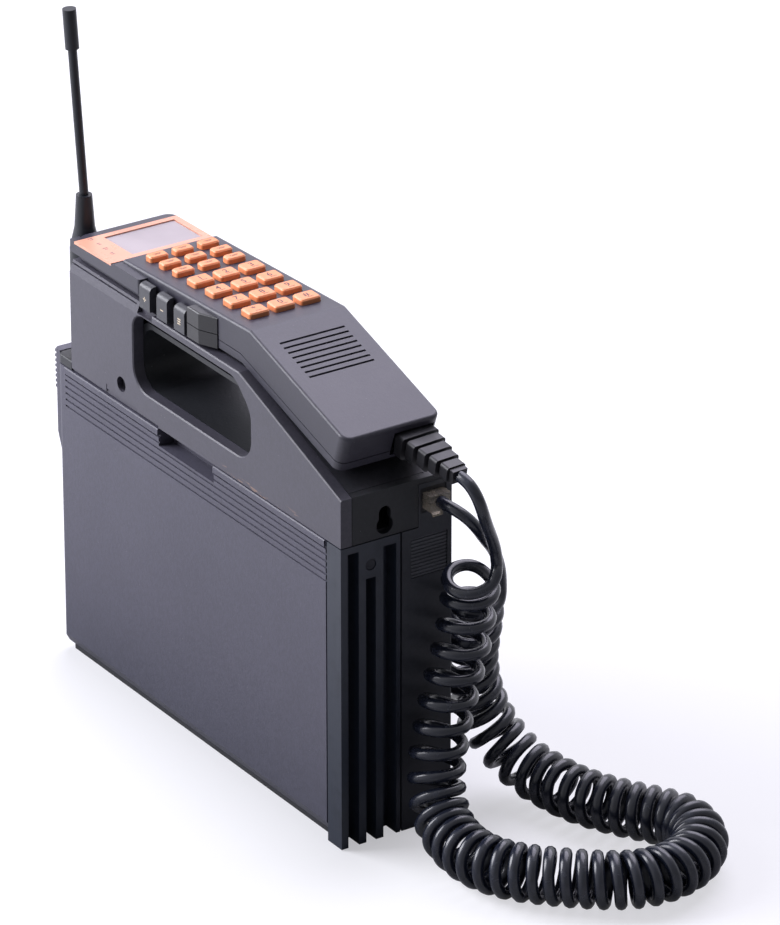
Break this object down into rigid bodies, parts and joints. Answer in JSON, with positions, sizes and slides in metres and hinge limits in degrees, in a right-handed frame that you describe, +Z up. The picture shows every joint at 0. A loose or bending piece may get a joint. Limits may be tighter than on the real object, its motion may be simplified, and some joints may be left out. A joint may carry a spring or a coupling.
{
  "type": "transportable cellular telephone",
  "caption": "Transportable cellular telephone with handset in a top cradle, carrying-handle opening, side battery pack, heat sink, flexible antenna and curly cord.",
  "frame": {"origin": "middle of the case's foot, on the surface that it stands on", "axes": "+X from the antenna end to the heat-sink end, -Y the broad side with the battery pack, +Z up"},
  "size_m": [0.4074, 0.1534, 0.35],
  "materials": {
    "case_plastic": "fine grain",
    "console_plastic": "fine grain",
    "cover_plastic": "satin",
    "tray_plastic": "fine grain",
    "handset_plastic": "satin",
    "side_key_plastic": "satin",
    "key_rubber": "satin",
    "orange_trim": "satin",
    "window_clear": "gloss",
    "module_glass": "matte",
    "board_laminate": "satin",
    "can_metal": "satin",
    "sink_metal": "black anodised",
    "cell_jacket": "shrink sleeve",
    "contact_brass": "polished",
    "connector_nickel": "nickel plated",
    "screw_steel": "blackened",
    "antenna_rubber": "satin",
    "cord_jacket": "gloss",
    "relief_rubber": "satin",
    "plug_clear": "clear, slightly amber",
    "socket_plastic": "satin",
    "speaker_black": "matte"
  },
  "bodies": {
    "base": {"rear_shell": "case_plastic", "chassis_frame": "case_plastic", "transceiver_board": "board_laminate", "shield_cans": "can_metal", "heat_sink": "sink_metal", "case_screws": "screw_steel", "console_body": "console_plastic", "console_side_cover": "cover_plastic", "handset_cradle": "tray_plastic", "speaker_grille": "case_plastic", "ringer_speaker": "speaker_black", "modular_socket": "socket_plastic", "antenna_connector": "connector_nickel", "handset_lead": "cord_jacket", "curly_cord": "cord_jacket", "plug_lead": "cord_jacket", "modular_plug": "plug_clear"},
    "hook_switch": {"hook_plunger": "tray_plastic"},
    "antenna": {"antenna_collar": "connector_nickel", "antenna_boot": "antenna_rubber", "antenna_whip": "antenna_rubber", "antenna_tip": "antenna_rubber"},
    "battery": {"battery_case": "case_plastic", "battery_inner_cover": "case_plastic", "battery_cells": "cell_jacket", "battery_contacts": "contact_brass"},
    "latch": {"battery_latch": "side_key_plastic"},
    "handset": {"handset_top_shell": "handset_plastic", "handset_bottom_shell": "handset_plastic", "display_bezel": "orange_trim", "display_window": "window_clear", "lcd_module": "module_glass", "keypad_board": "board_laminate", "earpiece_speaker": "speaker_black", "microphone": "speaker_black", "strain_relief": "relief_rubber"},
    "function_key_1": {"function_key_1": "key_rubber"},
    "function_key_2": {"function_key_2": "key_rubber"},
    "function_key_3": {"function_key_3": "key_rubber"},
    "function_key_4": {"function_key_4": "key_rubber"},
    "function_key_5": {"function_key_5": "key_rubber"},
    "function_key_6": {"function_key_6": "key_rubber"},
    "function_key_7": {"function_key_7": "key_rubber"},
    "function_key_8": {"function_key_8": "key_rubber"},
    "function_key_9": {"function_key_9": "key_rubber"},
    "digit_key_1": {"digit_key_1": "key_rubber"},
    "digit_key_2": {"digit_key_2": "key_rubber"},
    "digit_key_3": {"digit_key_3": "key_rubber"},
    "digit_key_4": {"digit_key_4": "key_rubber"},
    "digit_key_5": {"digit_key_5": "key_rubber"},
    "digit_key_6": {"digit_key_6": "key_rubber"},
    "digit_key_7": {"digit_key_7": "key_rubber"},
    "digit_key_8": {"digit_key_8": "key_rubber"},
    "digit_key_9": {"digit_key_9": "key_rubber"},
    "digit_key_star": {"digit_key_star": "key_rubber"},
    "digit_key_0": {"digit_key_0": "key_rubber"},
    "digit_key_hash": {"digit_key_hash": "key_rubber"},
    "volume_up_key": {"volume_up_key": "side_key_plastic"},
    "volume_down_key": {"volume_down_key": "side_key_plastic"},
    "menu_key": {"menu_key": "side_key_plastic"}
  },
  "joints": [
    {"name": "handset_lift", "type": "slide", "parent": "base", "child": "handset", "axis": [0, 0, 1], "range_m": [0, 0.06]},
    {"name": "hook_switch_travel", "type": "slide", "parent": "base", "child": "hook_switch", "axis": [0, 0, 1], "range_m": [0, 0.002]},
    {"name": "antenna_turn", "type": "hinge", "parent": "base", "child": "antenna", "pos_m": [-0.1242, -0.0175, 0.18], "axis": [0, 0, 1], "range_deg": [0, 360]},
    {"name": "battery_slide", "type": "slide", "parent": "base", "child": "battery", "axis": [0, -1, 0], "range_m": [0, 0.045]},
    {"name": "latch_travel", "type": "slide", "parent": "battery", "child": "latch", "axis": [0, 0, 1], "range_m": [0, 0.003], "stiffness_N_per_m": 300, "springref_m": -0.001},
    {"name": "function_key_1_press", "type": "slide", "parent": "handset", "child": "function_key_1", "axis": [0, 0, -1], "range_m": [0, 0.0012], "stiffness_N_per_m": 600, "springref_m": -0.0005},
    {"name": "function_key_2_press", "type": "slide", "parent": "handset", "child": "function_key_2", "axis": [0, 0, -1], "range_m": [0, 0.0012], "stiffness_N_per_m": 600, "springref_m": -0.0005},
    {"name": "function_key_3_press", "type": "slide", "parent": "handset", "child": "function_key_3", "axis": [0, 0, -1], "range_m": [0, 0.0012], "stiffness_N_per_m": 600, "springref_m": -0.0005},
    {"name": "function_key_4_press", "type": "slide", "parent": "handset", "child": "function_key_4", "axis": [0, 0, -1], "range_m": [0, 0.0012], "stiffness_N_per_m": 600, "springref_m": -0.0005},
    {"name": "function_key_5_press", "type": "slide", "parent": "handset", "child": "function_key_5", "axis": [0, 0, -1], "range_m": [0, 0.0012], "stiffness_N_per_m": 600, "springref_m": -0.0005},
    {"name": "function_key_6_press", "type": "slide", "parent": "handset", "child": "function_key_6", "axis": [0, 0, -1], "range_m": [0, 0.0012], "stiffness_N_per_m": 600, "springref_m": -0.0005},
    {"name": "function_key_7_press", "type": "slide", "parent": "handset", "child": "function_key_7", "axis": [0, 0, -1], "range_m": [0, 0.0012], "stiffness_N_per_m": 600, "springref_m": -0.0005},
    {"name": "function_key_8_press", "type": "slide", "parent": "handset", "child": "function_key_8", "axis": [0, 0, -1], "range_m": [0, 0.0012], "stiffness_N_per_m": 600, "springref_m": -0.0005},
    {"name": "function_key_9_press", "type": "slide", "parent": "handset", "child": "function_key_9", "axis": [0, 0, -1], "range_m": [0, 0.0012], "stiffness_N_per_m": 600, "springref_m": -0.0005},
    {"name": "digit_key_1_press", "type": "slide", "parent": "handset", "child": "digit_key_1", "axis": [0, 0, -1], "range_m": [0, 0.0012], "stiffness_N_per_m": 600, "springref_m": -0.0005},
    {"name": "digit_key_2_press", "type": "slide", "parent": "handset", "child": "digit_key_2", "axis": [0, 0, -1], "range_m": [0, 0.0012], "stiffness_N_per_m": 600, "springref_m": -0.0005},
    {"name": "digit_key_3_press", "type": "slide", "parent": "handset", "child": "digit_key_3", "axis": [0, 0, -1], "range_m": [0, 0.0012], "stiffness_N_per_m": 600, "springref_m": -0.0005},
    {"name": "digit_key_4_press", "type": "slide", "parent": "handset", "child": "digit_key_4", "axis": [0, 0, -1], "range_m": [0, 0.0012], "stiffness_N_per_m": 600, "springref_m": -0.0005},
    {"name": "digit_key_5_press", "type": "slide", "parent": "handset", "child": "digit_key_5", "axis": [0, 0, -1], "range_m": [0, 0.0012], "stiffness_N_per_m": 600, "springref_m": -0.0005},
    {"name": "digit_key_6_press", "type": "slide", "parent": "handset", "child": "digit_key_6", "axis": [0, 0, -1], "range_m": [0, 0.0012], "stiffness_N_per_m": 600, "springref_m": -0.0005},
    {"name": "digit_key_7_press", "type": "slide", "parent": "handset", "child": "digit_key_7", "axis": [0, 0, -1], "range_m": [0, 0.0012], "stiffness_N_per_m": 600, "springref_m": -0.0005},
    {"name": "digit_key_8_press", "type": "slide", "parent": "handset", "child": "digit_key_8", "axis": [0, 0, -1], "range_m": [0, 0.0012], "stiffness_N_per_m": 600, "springref_m": -0.0005},
    {"name": "digit_key_9_press", "type": "slide", "parent": "handset", "child": "digit_key_9", "axis": [0, 0, -1], "range_m": [0, 0.0012], "stiffness_N_per_m": 600, "springref_m": -0.0005},
    {"name": "digit_key_star_press", "type": "slide", "parent": "handset", "child": "digit_key_star", "axis": [0, 0, -1], "range_m": [0, 0.0012], "stiffness_N_per_m": 600, "springref_m": -0.0005},
    {"name": "digit_key_0_press", "type": "slide", "parent": "handset", "child": "digit_key_0", "axis": [0, 0, -1], "range_m": [0, 0.0012], "stiffness_N_per_m": 600, "springref_m": -0.0005},
    {"name": "digit_key_hash_press", "type": "slide", "parent": "handset", "child": "digit_key_hash", "axis": [0, 0, -1], "range_m": [0, 0.0012], "stiffness_N_per_m": 600, "springref_m": -0.0005},
    {"name": "volume_up_key_press", "type": "slide", "parent": "handset", "child": "volume_up_key", "axis": [0, 1, 0], "range_m": [0, 0.001], "stiffness_N_per_m": 600, "springref_m": -0.0005},
    {"name": "volume_down_key_press", "type": "slide", "parent": "handset", "child": "volume_down_key", "axis": [0, 1, 0], "range_m": [0, 0.001], "stiffness_N_per_m": 600, "springref_m": -0.0005},
    {"name": "menu_key_press", "type": "slide", "parent": "handset", "child": "menu_key", "axis": [0, 1, 0], "range_m": [0, 0.001], "stiffness_N_per_m": 600, "springref_m": -0.0005}
  ],
  "couplings": [
    {"joint": "hook_switch_travel", "follows": "handset_lift", "ratio": 0.033}
  ]
}
